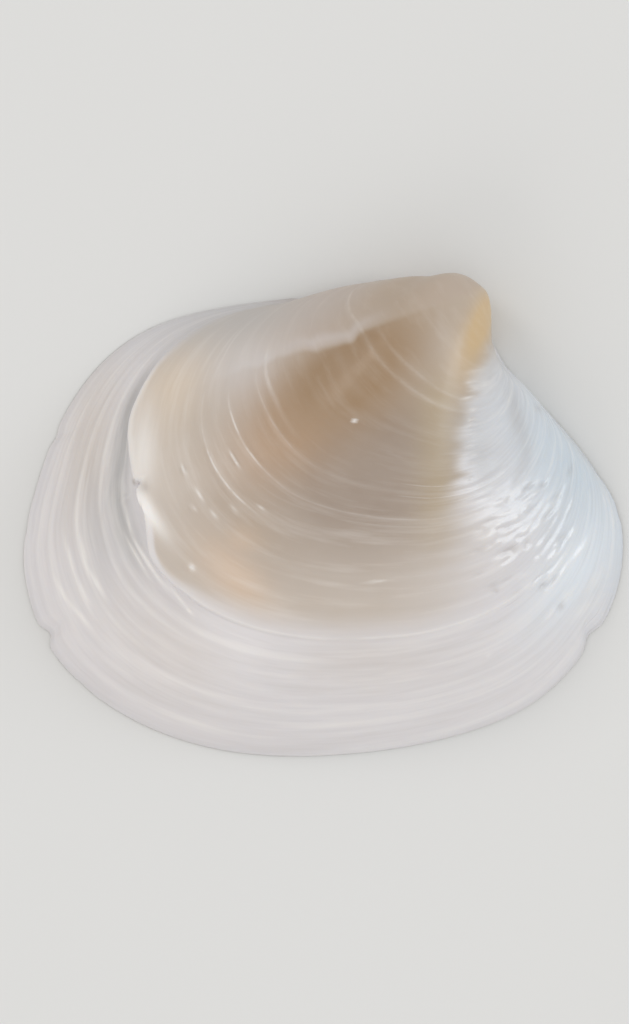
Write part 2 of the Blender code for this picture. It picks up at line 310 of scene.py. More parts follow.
# Small marks on the outside, in plan in millimetres from the beak: x, y, half length, half
# width, turn in degrees, and height, where a height below 0 is a pit
MARKS = (
    (0.27, -2.84, 0.085, 0.060, 20.0, -0.030),
    (0.47, -2.74, 0.050, 0.040, 30.0, -0.020),
    (0.94, -3.59, 0.055, 0.045, 60.0, -0.024),
    (0.05, -3.37, 0.050, 0.040, 20.0, -0.022),
    (0.90, -3.20, 0.200, 0.022, 53.0, 0.014),
    (0.80, -3.67, 0.100, 0.020, 50.0, 0.012),
    (1.07, -3.40, 0.100, 0.020, 55.0, 0.012),
    (0.13, -2.37, 0.220, 0.026, 20.0, 0.012),
    (0.30, -2.55, 0.140, 0.022, 28.0, 0.010),
    (0.34, -1.05, 0.480, 0.110, -75.0, -0.026),
    (0.42, -1.72, 0.260, 0.080, 68.0, -0.014),
    (0.64, -0.94, 0.060, 0.035, -40.0, -0.020),
    (-4.62, -1.97, 0.085, 0.060, -60.0, -0.030),
    (1.53, -2.17, 0.050, 0.030, 75.0, 0.014),
    (1.64, -2.43, 0.050, 0.030, 80.0, 0.014),
    (-4.08, -1.77, 0.070, 0.016, -62.0, 0.014),
    (-3.88, -2.10, 0.110, 0.016, -58.0, 0.016),
    (-3.68, -2.37, 0.080, 0.015, -50.0, 0.012),
    (-3.95, -2.28, 0.050, 0.015, -50.0, 0.010),
    (-3.41, -1.63, 0.110, 0.017, -58.0, 0.016),
    (-3.41, -2.30, 0.070, 0.014, -48.0, 0.010),
    (-3.05, -2.28, 0.060, 0.014, -42.0, 0.009),
    (-3.97, -3.06, 0.045, 0.028, -60.0, 0.018),
    (-4.01, -3.64, 0.050, 0.018, -50.0, 0.010),
    (-1.54, -3.25, 0.110, 0.014, 4.0, 0.012),
    (-1.82, -1.12, 0.024, 0.024, 0.0, 0.020),
    (-0.03, -4.24, 0.035, 0.030, 30.0, 0.012),
    (-5.42, -2.90, 0.240, 0.026, -77.0, 0.014),
    (-5.25, -3.28, 0.230, 0.030, -61.0, 0.015),
    (-5.60, -2.97, 0.240, 0.026, -74.0, 0.014),
    (-5.43, -3.41, 0.220, 0.028, -66.0, 0.014),
    (-5.72, -3.39, 0.190, 0.026, -63.0, 0.012),
    (-5.48, -3.70, 0.220, 0.030, -50.0, 0.012),
    (-4.70, -2.93, 0.300, 0.020, -60.0, 0.012),
    (-4.56, -2.99, 0.300, 0.022, -57.0, 0.014),
    (-4.14, -3.47, 0.220, 0.020, -53.0, 0.010),
    (0.87, -3.06, 0.300, 0.034, 53.0, 0.016),
    (1.02, -3.45, 0.080, 0.045, 45.0, 0.014),
    (1.19, -2.86, 0.220, 0.034, 53.0, 0.014),
    (1.39, -3.25, 0.220, 0.060, 54.0, 0.014),
    (0.80, -3.71, 0.090, 0.034, 51.0, 0.014),
    (1.25, -3.62, 0.200, 0.060, 42.0, 0.014),
    (0.16, -2.86, 0.120, 0.050, 26.0, -0.020),
    (0.72, -3.32, 0.090, 0.060, 40.0, -0.018),
)

# Small flecks scattered over the lower front slope: how many, the zone's middle and half
# lengths in plan and how it slants, their turn in the middle, its growth with x and its
# scatter in degrees, the least and largest half length and half width, and the largest height
FLECK_COUNT = 80
FLECK_ZONE = (0.42, -2.75, 0.66, 0.75)
FLECK_SLANT = 0.5
FLECK_TURN = (32.0, 28.0, 8.0)
FLECK_HALF_LENGTHS = (0.04, 0.12)
FLECK_HALF_WIDTHS = (0.018, 0.034)
FLECK_HEIGHT = 0.018
MARKS_SEED = 41

# Short bright ridges where the growth lines bend over onto the front slope: how many, their x,
# the first and last y, their scatter in x and y, the turn of the first and what the last adds,
# the half length, half width and height, and the least and largest share of length and height
GLINT_COUNT = 15
GLINT_X = -0.24
GLINT_SPAN = (-0.48, -2.15)
GLINT_SCATTER = (0.07, 0.03)
GLINT_TURN = (8.0, 7.0)
GLINT_SIZE = (0.10, 0.016, 0.013)
GLINT_LENGTHS = (0.5, 1.3)
GLINT_HEIGHTS = (0.5, 1.2)

# Soft oval patches of colour in plan, in millimetres: x, y, half length, half width, turn in
# degrees, and strength, which stops at 1
PATCHES = {
    "crown": (-1.85, -0.48, 1.15, 0.66, 36.0, 1.35),
    "amber": (-2.72, -1.22, 0.85, 0.55, 45.0, 1.2),
    "middle": (-1.50, -1.75, 1.75, 1.20, 18.0, 1.3),
    "cream": (-4.21, -0.66, 0.72, 0.40, 59.0, 1.0),
    "pale": (-3.25, -0.42, 0.60, 0.50, 0.0, 1.0),
    "peach": (-3.42, -3.18, 0.62, 0.30, -48.0, 1.0),
    "rust": (-3.34, -2.74, 0.28, 0.24, 0.0, 0.6),
    "dorsal": (-3.45, 0.26, 1.35, 0.38, 14.0, 0.72),
    "gold": (-0.10, 0.24, 0.48, 0.17, 70.0, 1.3),
    "gold_foot": (-0.36, -0.34, 0.46, 0.24, 78.0, 0.45),
    # Front slope: pale shell with a painted bluish sheen of the cool window light
    "frost_and_sheen": (1.05, -1.70, 1.80, 0.80, -62.0, 1.0),
    # Chip and notch: painted shade in the hollow where the ledge is chipped
    "chip_shade": (-4.61, -1.99, 0.09, 0.06, -50.0, 0.45),
    "notch_shade": (-4.75, -1.93, 0.045, 0.022, -75.0, 1.0),
    "blush": (-4.64, -1.52, 0.62, 0.19, 87.0, 1.0),
    "mist": (-0.18, -1.50, 0.60, 0.26, -80.0, 1.0),
    # Lower front slope: pale shell with a painted blue-white highlight
    "ice_highlight_patch": (1.10, -3.15, 0.95, 0.42, 55.0, 1.0),
    "foot": (-1.60, -4.30, 1.20, 0.42, 2.0, 1.0),
    "heel": (-4.40, -4.10, 1.00, 0.60, -42.0, 1.0),
    "dim": (-3.35, -2.35, 0.95, 0.42, -50.0, 1.0),
    "flank": (-5.25, -2.55, 0.75, 0.26, -85.0, 0.45),
    "rear": (-5.35, -1.45, 1.10, 0.35, 80.0, 1.0),
}

# Line in plan where the tan of the crown ends at the front slope: y and x, upwards, half the
# width of its border at the top and what the foot adds, and the reach of its tongues with
# their count over all ages, their steps along the edge and their seed
FRONT_LINE = (
    (-5.60, -0.90),
    (-3.77, -0.66),
    (-3.10, -0.50),
    (-2.30, -0.39),
    (-1.83, -0.45),
    (-1.50, -0.44),
    (-0.96, -0.35),
    (-0.56, -0.27),
    (-0.23, -0.13),
    (0.60, 0.10),
)
FRONT_SOFT = (0.15, 0.85)
TONGUE_REACH = 0.14
TONGUES = (60, 7, 12)

# Upper boundary of the brown crown: a place on it and its rise in degrees, the height of its
# step, half the width of its border, its wobble with count, steps and seed, and the middle and
# half width of the pale band above it
CROWN_LINE = (-2.555, -0.19, 18.8)
CROWN_STEP = 0.12
CROWN_SOFT = 0.05
WOBBLE_REACH = 0.03
WOBBLES = (70, 8, 11)
BAND = (0.11, 0.07)

# Colour's border at the ledge: how far it draws back at one place, with its share and half
# width, how far it runs out where the ledge is faint, its width, and what that adds
OLD_BACK = 0.012
OLD_BACK_PLACE = (0.664, 0.026)
OLD_OUT = 0.016
OLD_SOFT = (0.006, 0.060)

# Tan ray: its x and half width, and how much it fades at the foot
RAY = (-0.70, 0.30)
RAY_FADE = 0.8

# Painted shade in the groove outside the ledge, and the ledge's pale rim with a painted
# highlight: distance from the ledge and half width in age
GROOVE_SHADE = (0.026, 0.024)
PALE_RIM_AND_HIGHLIGHT = (0.005, 0.007)

# How much the umbo's colour fades at the rear and at the front, where the paler colour
# is partly painted light on the lit front of the beak
UMBO_FADES = (0.5, 0.45)

# Heights in millimetres at which the painted highlight of a fleck, the painted shade of a pit
# and the pale crest of a ridge, partly a painted highlight, show in full, and how much the
# flecks' painted highlight fades on the front slope
FLECK_HIGHLIGHT_FULL = 0.012
PIT_SHADE_FULL = 0.025
CREST_FULL = 0.02
FLECK_HIGHLIGHT_FADE = 0.6

# How strongly the growth lines streak the colour: everywhere, added at most, and the part of
# that for the middle ages
LINED = (0.20, 0.80, 0.4)

# Middle of the cavity in plan, and the shares by which the inner face is drawn in
CAVITY_CENTRE = (-1.87, -2.17)
RIM_WIDTH_SHARE = 0.075
HINGE_WIDTH_SHARE = 0.10
CROWN_THICKNESS_SHARE = 0.13

# Hollows of the hinge plate: middle, half length, half width, turn in degrees and depth
HINGE_HOLLOWS = (
    (-0.22, -0.13, 0.15, 0.050, 56.0, 0.09),
    (-0.61, 0.19, 0.17, 0.055, 54.0, 0.09),
    (-1.45, 0.49, 0.56, 0.045, 1.0, 0.06),
)

# Muscle scars on the inner face, in plan in millimetres: x, y, half length, half width and
# turn in degrees, the weights between which their border lies, their depth, and the heights
# over which it comes in
SCARS = (
    (0.62, -1.95, 0.42, 0.26, 70.0),
    (-4.65, -1.35, 0.48, 0.34, 60.0),
)
SCAR_BORDER = (0.30, 0.46)
SCAR_DEPTH = 0.012
SCAR_HEIGHTS = (0.1, 0.4)

# Line inside the edge: its size and half width, and the shares over which it comes in
PALLIAL = (0.80, 0.008)
PALLIAL_START = (0.1, 0.2)

# Warm middle of the inside, in plan in millimetres: half length, half width and turn
WARM = (2.4, 1.6, 15.0)

# Mesh density: rows and columns of the outer face, each a multiple of THIN, the step at which
# the inner face keeps them, and rings of the land between the faces
ROWS = 288
COLUMNS = 258
THIN = 3
RINGS = 14
SMALL_STEP = 1e-4
SHARP_ANGLE = math.radians(40.0)

# Closeness of the rows: near the beak, added beyond these sizes, and added at the ledge
BEAK_ROWS = 0.75
FURTHER_ROWS = 0.25
FURTHER_SIZES = (0.1, 0.3)
LEDGE_ROWS = 2.2
LEDGE_SIZES = (0.778, 0.016)

# Closeness of the columns: at large, and added between shares on the front slope with its pits
# and at the rear with the ledge's chips
PLAIN_COLUMNS = 0.7
CLOSER_COLUMNS = (
    (1.4, (0.20, 0.23, 0.34, 0.37)),
    (1.9, (0.55, 0.60, 0.78, 0.84)),
)
SPREAD_STEPS = 4000

# Noises on the growth map: how many along the whole edge and over all ages, detail and
# roughness
GROWTH_MAP = "growth"
GROWTH_NOISES = {
    "broad": (6.0, 34.0, 3.0, 0.5),
    "thin": (16.0, 105.0, 3.0, 0.55),
    "wander": (14.0, 5.0, 1.0, 0.5),
    "uneven": (42.0, 60.0, 2.0, 0.5),
    "rings": (5.0, 70.0, 3.0, 0.55),
    "rays": (140.0, 3.0, 2.0, 0.5),
}

# Noises on the object: how many in a metre, detail and roughness
CLOUD_NOISE = (900.0, 4.0, 0.55)
GRAIN_NOISE = (16000.0, 2.0, 0.6)
MILK_NOISE = (1100.0, 4.0, 0.55)
FLOOR_NOISE = (60.0, 2.0, 0.5)

# Middle of every noise, which runs from 0 to 1
MIDDLE = 0.5

# Colours laid over the pearl ground one after the other: zone, strength and colour
LAYERS = (
    ("old", 0.88, "tan"),
    ("middle", 0.78, "dusk"),
    ("dim", 0.35, "umbo"),
    ("skirt", 0.28, "tan"),
    ("slope", 0.85, "beige"),
    ("cream", 0.75, "cream"),
    ("peach", 0.85, "peach"),
    ("pale", 0.50, "pearl"),
    ("umbo", 0.85, "umbo"),
    ("ray", 0.60, "ray"),
    ("amber", 0.75, "amber"),
    ("crown", 0.92, "brown"),
    ("band", 0.28, "pearl"),
    ("rear", 0.55, "tan"),
    # Grey upper rear and flank, and painted shade in the groove outside the ledge
    ("grey_and_groove_shade", 0.90, "grey_and_groove_shade"),
    ("mist", 0.55, "grey_and_groove_shade"),
    # Pale front slope with a painted bluish sheen
    ("frost_and_sheen", 0.90, "frost_and_sheen"),
    # Pale lower front slope with a painted blue-white highlight
    ("ice_and_highlight", 0.80, "ice_and_highlight"),
    ("gold", 0.90, "gold"),
    ("blush", 0.75, "pale_crest_and_highlight"),
    # Pale rim of the ledge with a painted highlight
    ("rim_pale_and_highlight", 0.55, "pale_crest_and_highlight"),
    # Pale fold of the ledge with a painted highlight
    ("fold_pale_and_highlight", 0.95, "pale_crest_and_highlight"),
    # Painted shade in the chip's hollow
    ("chip_shade", 0.80, "shade"),
    # Painted highlights on the raised marks, flecks and glints
    ("fleck_highlight", 0.70, "pale_crest_and_highlight"),
    # Painted shade in the pits and hollows
    ("pit_shade", 0.30, "shade"),
)

# How much the cloud mottles the layers, how much broad and thin noise make the pale streaks,
# strengthened into painted highlights, and the dark streaks, and how pale the crests, partly a
# painted highlight, and the thin lines are
MOTTLE = 0.35
PALE_STREAKS_AND_HIGHLIGHTS = (1.3, 0.8)
DARK_STREAKS = (0.5, 0.5)
CREST_PALE = 0.25
LINES_PALE = 0.75

# Light in shell: how strongly it bends and how far it spreads in red, green and blue
SHELL_IOR = 1.53
SHELL_SPREAD = (1.0, 0.8, 0.6)

# Where the photograph's frame lies over the valve, in metres: its middle and its height
FRAME_MIDDLE = (-0.000118, 0.000039)
FRAME_HEIGHT = 0.013663
CAMERA_HEIGHT = 0.16
CAMERA_SENSOR = 0.024
CAMERA_RANGE = (0.001, 10.0)

# Half width of the floor and how far it lies below the valve, in metres
FLOOR_HALF = 0.5
FLOOR_DROP = 0.00002

# Soft lights: name, place and width in metres, share of the main light's power, and colour
LIGHTS = (
    ("window", (0.15, 0.035, 0.095), 0.09, 1.0, (0.86, 0.94, 1.0)),
    ("lamp_upper_left", (-0.11, 0.10, 0.12), 0.06, 0.55, (1.0, 0.97, 0.94)),
    ("fill_lower_left", (-0.08, -0.15, 0.08), 0.10, 0.75, (1.0, 0.98, 0.96)),
)
LIGHT_TARGET = (0.0, 0.0, 0.001)
STUDIO_COLOUR = (1.0, 0.985, 0.97, 1.0)
STUDIO_STRENGTH = 0.75


def smooth_curve(knots, values, at):
    """Natural cubic spline through values at rising knots, read at the places given.

    The bends at the knots solve the usual three-term equations, and each stretch is the cubic
    with those bends at its ends.
    """
    knots = np.asarray(knots, float)
    values = np.asarray(values, float)
    at = np.asarray(at, float)
    gaps = np.diff(knots)
    slopes = (np.diff(values, axis=0).T / gaps).T
    count = len(knots)
    matrix = np.eye(count)
    inner = np.arange(1, count - 1)
    matrix[inner, inner - 1] = gaps[:-1]
    matrix[inner, inner] = 2.0 * (gaps[:-1] + gaps[1:])
    matrix[inner, inner + 1] = gaps[1:]
    right = np.zeros_like(values)
    right[1:-1] = 3.0 * np.diff(slopes, axis=0)
    bend = np.linalg.solve(matrix, right)
    i = np.clip(np.searchsorted(knots, at, side="right") - 1, 0, count - 2)
    step = at - knots[i]
    gap = gaps[i]
    if values.ndim == 2:
        step = step[..., None]
        gap = gap[..., None]
    start_slope = slopes[i] - gap * (2.0 * bend[i] + bend[i + 1]) / 3.0
    rise = (bend[i + 1] - bend[i]) / (3.0 * gap)
    return values[i] + step * (start_slope + step * (bend[i] + step * rise))


def blend(low, high, x):
    """Smooth step: 0 below low, 1 above high, three t squared minus two t cubed between."""
    t = np.clip((x - low) / (high - low), 0.0, 1.0)
    return t * t * (3.0 - 2.0 * t)


def bump(x, middle, half_width):
    """Rounded bump of height 1: e to the minus square of the distance in half widths."""
    return np.exp(-((x - middle) / half_width) ** 2)


def between(span, x):
    """Weight that comes in between the first two places of span and leaves between the last."""
    return blend(span[0], span[1], x) * (1.0 - blend(span[2], span[3], x))


def oval(x, y, middle_x, middle_y, half_long, half_short, turn):
    """Squared distance from an oval's middle in plan, measured in its half lengths: 1 on it."""
    cos, sin = math.cos(math.radians(turn)), math.sin(math.radians(turn))
    along = (x - middle_x) * cos + (y - middle_y) * sin
    across = -(x - middle_x) * sin + (y - middle_y) * cos
    return (along / half_long) ** 2 + (across / half_short) ** 2


def patch(x, y, *place):
    """Soft oval patch in plan: e to the minus squared distance in half lengths."""
    return np.exp(-oval(x, y, *place))


def streaks(age, share, count, across, seed):
    """Random bands along the growth lines, from -1 to 1.

    Seeded random numbers stand on a grid of count lines of age by across places of share. A
    point reads the four round it, mixed by smooth steps of its place between them.
    """
    table = np.random.default_rng(seed).uniform(-1.0, 1.0, (count + 2, across + 2))
    a = np.clip(age, 0.0, 1.0) * count
    b = np.clip(share, 0.0, 1.0) * across
    i = a.astype(int)
    j = b.astype(int)
    fa = a - i
    fb = b - j
    fa = fa * fa * (3.0 - 2.0 * fa)
    fb = fb * fb * (3.0 - 2.0 * fb)
    low = table[i, j] * (1.0 - fb) + table[i, j + 1] * fb
    high = table[i + 1, j] * (1.0 - fb) + table[i + 1, j + 1] * fb
    return low * (1.0 - fa) + high * fa


def along_edge(share, steps, seed):
    """Random numbers along the edge from -1 to 1, the same at every age."""
    return streaks(np.full_like(share, 0.5), share, 2, steps, seed)


def edge_outline(share, size):
    """Points of the edge at shares of its length: a spline through EDGE by chord length, moved
    towards the middle of the cavity by the bumps of EDGE_BREAKS near full size."""
    points = np.array(EDGE)
    steps = np.hypot(*np.diff(points, axis=0).T)
    knots = np.concatenate([[0.0], np.cumsum(steps)])
    length = knots[-1]
    outline = smooth_curve(knots, points, share * length)
    inward = np.array(CAVITY_CENTRE) - outline
    inward /= np.linalg.norm(inward, axis=-1, keepdims=True)
    place, deep, half_width = np.array(EDGE_BREAKS).T
    depth = (deep * bump(share[..., None], place, half_width / length)).sum(axis=-1)
    depth = depth * blend(BREAK_START, 1.0, size)
    return outline + inward * depth[..., None]


def along_and_across(points, turn):
    """Distances along the hinge line and away from it, for a hinge turned in plan."""
    along = points[..., 0] * math.cos(turn) - points[..., 1] * math.sin(turn)
    across = -points[..., 0] * math.sin(turn) - points[..., 1] * math.cos(turn)
    return along, across


def rolled_outline(size, share):
    """The edge outline at a size.

    The edge outline is scaled by size to the power of a lag, split into along and across the
    hinge, slid along it, rolled up about it by the roll of that size, lifted beyond it at the
    hinge side, and turned in plan.
    """
    turn = math.radians(HINGE_TURN)
    outline = edge_outline(share, size)
    full_depth = along_and_across(np.array(EDGE), turn)[1].max()
    lag = 1.0 + FRONT_LAG * (1.0 - blend(*FRONT_LAG_END, share))
    lag = lag + CORNER_LAG * bump(share, CORNER_PLACE, CORNER_HALF_WIDTH)
    scale = np.maximum(size, LEAST_SIZE) ** lag
    along, across = along_and_across(outline, turn)
    table = np.array(GROWTH)
    roll, slide, lift = np.moveaxis(smooth_curve(table[:, 0], table[:, 1:], size), -1, 0)
    roll = np.radians(roll)
    lifted = np.clip(1.0 - across / full_depth, 0.0, 1.0) ** 2 * blend(*LIFTED_PART, share)
    along = scale * along + slide
    height = scale * across * np.sin(roll)
    across = scale * across * np.cos(roll) - lift * lifted
    turn = np.radians(HINGE_TURN + EARLY_TURN * (1.0 - size) ** 2)
    x = along * np.cos(turn) - across * np.sin(turn)
    y = -along * np.sin(turn) - across * np.cos(turn)
    return np.stack([x, y, np.maximum(height, 0.0)], axis=-1)


def growth_surface(size, share):
    """Outer face without relief.

    The rolled outline at that size. Its front border under the beak is moved onto the straight
    line between its tip and where it turns forwards, which fades over the first shares.
    """
    last_size, last_share = STRAIGHT_FRONT
    tip = rolled_outline(np.zeros(1), np.zeros(1))[0]
    turning = rolled_outline(np.full(1, last_size), np.zeros(1))[0]
    border = rolled_outline(np.minimum(size, last_size), np.zeros_like(share))
    part = np.clip(size / last_size, 0.0, 1.0)[..., None]
    shift = tip * (1.0 - part) + turning * part - border
    fade = 1.0 - blend(0.0, last_share, share)
    return rolled_outline(size, share) + shift * fade[..., None]


def growth_age(size, share):
    """Size whose growth line passes a point: size less soft drifts, since the lines of the
    young shell run out wider at the front, and those near the ledge at the upper rear."""
    front = YOUNG_DRIFT * (1.0 - blend(*YOUNG_DRIFT_END, size))
    front = front - LATER_DRIFT * blend(*LATER_DRIFT_START, size)
    rear = REAR_DRIFT * bump(size, *REAR_DRIFT_SIZES)
    front = front * (1.0 - blend(*FRONT_DRIFT_SHARES, share))
    return size - front - rear * blend(*REAR_DRIFT_SHARES, share)


def ledge_place(share):
    """Age at which the ledge ends: its size less the rounded bumps of its chips, with a small
    wander at the rear."""
    place, deep, half_width = np.array(LEDGE_CHIPS).T
    chips = (deep * bump(share[..., None], place, half_width)).sum(axis=-1)
    wander = LEDGE_WANDER * along_edge(share, LEDGE_WANDER_STEPS, LEDGE_SEED)
    return LEDGE_SIZE - chips + wander * between(PARTS["ledge_tall"], share)


def fold_weight(x, y, age, share):
    """Weight of the pale fold behind the ledge: a soft oval in plan that ends at the ledge."""
    place = ledge_place(share)
    return patch(x, y, *FOLD) * (1.0 - blend(place, place + LEDGE_DROP, age))


def ridge_rise(age, share, sizes):
    """Heights of the growth ridges in millimetres: rounded bumps in age, each faded out beyond
    the shares between which it stands and made uneven along its length."""
    rise = 0.0
    for number, (place, tall, half_width, start, end) in enumerate(RIDGES):
        span = (start - RIDGE_END, start + RIDGE_END, end - RIDGE_END, end + RIDGE_END)
        stands = between(span, share)
        uneven = along_edge(share, RIDGE_STEPS[0], RIDGE_SEEDS[0] + number)
        uneven = RIDGE_MEAN + RIDGE_UNEVEN * uneven
        wander = RIDGE_WANDER * along_edge(share, RIDGE_STEPS[1], RIDGE_SEEDS[1] + number)
        rise = rise + tall * stands * uneven * bump(age, place + wander, half_width)
    return rise * sizes.ridge_height / MM


def ledge_rise(age, share, sizes):
    """Height of the ledge and the groove outside it, in millimetres: a smooth rise up to the
    ledge's place, a steep drop beyond it, and a rounded groove."""
    rear = between(PARTS["ledge_tall"], share)
    lower = between(PARTS["ledge_low"], share)
    tall = LEDGE_FRONT_SHARE * lower + (1.0 - LEDGE_FRONT_SHARE) * rear
    place = ledge_place(share)
    beyond = blend(place, place + LEDGE_DROP, age)
    raised = blend(LEDGE_SIZE - LEDGE_RUN, LEDGE_SIZE, age) * (1.0 - beyond)
    groove = bump(age, place + GROOVE_OFFSET, GROOVE_HALF_WIDTH) * beyond
    return sizes.ledge_height / MM * (tall * raised - GROOVE_SHARE * rear * groove)


def marks_rise(x, y):
    """Heights of the small marks and pits, of the flecks scattered over the lower front slope
    and of the glints down the front line: soft oval patches in plan, the flecks and glints at
    seeded random places along the growth lines."""
    rise = np.zeros_like(x)
    for *place, tall in MARKS:
        rise += tall * patch(x, y, *place)
    dice = np.random.default_rng(MARKS_SEED)
    middle_x, middle_y, half_x, half_y = FLECK_ZONE
    first_turn, more_turn, scatter = FLECK_TURN
    for _ in range(FLECK_COUNT):
        place_x = middle_x + half_x * dice.uniform(-1.0, 1.0)
        place_y = middle_y + half_y * dice.uniform(-1.0, 1.0)
        place_y = place_y + FLECK_SLANT * (place_x - middle_x)
        turn = first_turn + more_turn * (place_x - middle_x) + dice.uniform(-scatter, scatter)
        half_long = dice.uniform(*FLECK_HALF_LENGTHS)
        half_short = dice.uniform(*FLECK_HALF_WIDTHS)
        tall = FLECK_HEIGHT * dice.uniform(-1.0, 1.0)
        rise += tall * patch(x, y, place_x, place_y, half_long, half_short, turn)
    half_long, half_short, tall = GLINT_SIZE
    first_y, last_y = GLINT_SPAN
    scatter_x, scatter_y = GLINT_SCATTER
    first_turn, more_turn = GLINT_TURN
    for place_y in np.linspace(first_y, last_y, GLINT_COUNT):
        place_x = GLINT_X + dice.uniform(-scatter_x, scatter_x)
        place_y = place_y + dice.uniform(-scatter_y, scatter_y)
        length = half_long * dice.uniform(*GLINT_LENGTHS)
        turn = first_turn + more_turn * (place_y - first_y) / (last_y - first_y)
        glint = patch(x, y, place_x, place_y, length, half_short, turn)
        rise += tall * dice.uniform(*GLINT_HEIGHTS) * glint
    return rise


def fine_rise(age, share, sizes):
    """Heights of the fine growth lines: three sets of streaks, strongest on the front slope
    and outside the ledge at the rear."""
    front = between(PARTS["front_slope"], share)
    rear = between(PARTS["ledge_tall"], share) * blend(*FINE_REAR_AGES, age)
    rise = 0.0
    for count, steps, seed, plain, at_front, at_rear in FINE_LINES:
        strength = plain + at_front * front + at_rear * rear
        rise = rise + streaks(age, share, count, steps, seed) * strength
    return rise * sizes.stria_height / MM


def outer_face(size, share, sizes):
    """Outer face with its relief: the plain face moved along its normal, the cross product of
    its two directions, by the sum of ledge, ridges, fine lines, fold and marks, which comes in
    above the rim."""
    base = growth_surface(size, share)
    later = growth_surface(np.minimum(size + SMALL_STEP, 1.0), share)
    earlier = growth_surface(np.maximum(size - SMALL_STEP, 0.0), share)
    ahead = growth_surface(size, np.minimum(share + SMALL_STEP, 1.0))
    behind = growth_surface(size, np.maximum(share - SMALL_STEP, 0.0))
    normal = np.cross(ahead - behind, later - earlier)
    normal /= np.linalg.norm(normal, axis=-1, keepdims=True) + LEAST_LENGTH
    age = growth_age(size, share)
    rise = ledge_rise(age, share, sizes) + ridge_rise(age, share, sizes)
    rise = rise + fine_rise(age, share, sizes)
    rise = rise + FOLD_HEIGHT * fold_weight(base[..., 0], base[..., 1], age, share)
    rise = rise * blend(*RELIEF_SIZES, size) + marks_rise(base[..., 0], base[..., 1])
    rise = rise * blend(*RELIEF_HEIGHTS, base[..., 2])
    face = base + normal * rise[..., None]
    face[..., 2] = np.where(base[..., 2] > 0.0, np.maximum(face[..., 2], 0.0), 0.0)
    return face


def inner_face(size, share):
    """Inner face: the plain outer face drawn in towards the middle of the cavity in plan, more
    so at the hinge, and lowered, with shallow muscle scars."""
    face = growth_surface(size, share)
    middle = np.array(CAVITY_CENTRE)
    towards_hinge = np.clip((face[..., 1] - middle[1]) / -middle[1], 0.0, 1.0)
    keep = 1.0 - RIM_WIDTH_SHARE - HINGE_WIDTH_SHARE * towards_hinge ** 2
    face[..., :2] = middle + (face[..., :2] - middle) * keep[..., None]
    face[..., 2] *= 1.0 - CROWN_THICKNESS_SHARE
    scar = scar_weight(face[..., 0], face[..., 1])
    face[..., 2] += SCAR_DEPTH * scar * blend(*SCAR_HEIGHTS, face[..., 2])
    return face


def scar_weight(x, y):
    """Weight of the muscle scars in plan: soft ovals with a crisp border."""
    weight = np.zeros_like(x)
    for place in SCARS:
        weight = np.maximum(weight, blend(*SCAR_BORDER, patch(x, y, *place)))
    return weight


def spread(count, weight):
    """Places from 0 to 1, count gaps apart, closer where weight is larger: the inverse of the
    running sum of the weight."""
    fine = np.linspace(0.0, 1.0, SPREAD_STEPS + 1)
    total = np.concatenate([[0.0], np.cumsum(weight((fine[1:] + fine[:-1]) / 2.0))])
    return np.interp(np.linspace(0.0, total[-1], count + 1), total, fine)


def row_weight(size):
    """Closeness of the rows: more beyond the beak by a smooth step, most at the ledge by a
    rounded bump."""
    weight = BEAK_ROWS + FURTHER_ROWS * blend(*FURTHER_SIZES, size)
    return weight + LEDGE_ROWS * bump(size, *LEDGE_SIZES)


def column_weight(share):
    """Closeness of the columns: more in each stretch of CLOSER_COLUMNS."""
    weight = PLAIN_COLUMNS
    for more, span in CLOSER_COLUMNS:
        weight = weight + more * between(span, share)
    return weight


def border_loop(first, rows, columns):
    """Vertex numbers round a face's border: tip, front rows, last row, then rear rows back. The
    tip is vertex first, and row i, column j is first plus 1 plus i times the row length plus j."""
    width = columns + 1
    i = np.arange(rows)
    front = first + 1 + i * width
    last = first + 1 + (rows - 1) * width + np.arange(1, columns)
    rear = first + 1 + i[::-1] * width + columns
    return np.concatenate([[first], front, last, rear])


def face_quads(first, rows, columns, faces_up):
    """Quads and tip triangles of one face, as arrays of vertex numbers."""
    width = columns + 1
    i, j = np.meshgrid(np.arange(rows - 1), np.arange(columns), indexing="ij")
    a = (first + 1 + i * width + j).ravel()
    quads = np.stack([a, a + width, a + width + 1, a + 1], axis=1)
    b = first + 1 + np.arange(columns)
    tip = np.stack([np.full(columns, first), b, b + 1], axis=1)
    if not faces_up:
        quads = quads[:, ::-1]
        tip = tip[:, ::-1]
    return quads, tip


def land_relief(points):
    """Rise of the land into the shell at the hinge's hollows: half ovals in plan, the root of
    one minus the squared distance in half lengths, times their depth."""
    rise = np.zeros(points.shape[:-1])
    for *place, deep in HINGE_HOLLOWS:
        inside = 1.0 - oval(points[..., 0], points[..., 1], *place)
        rise = np.maximum(rise, deep * np.sqrt(np.clip(inside, 0.0, 1.0)))
    return rise


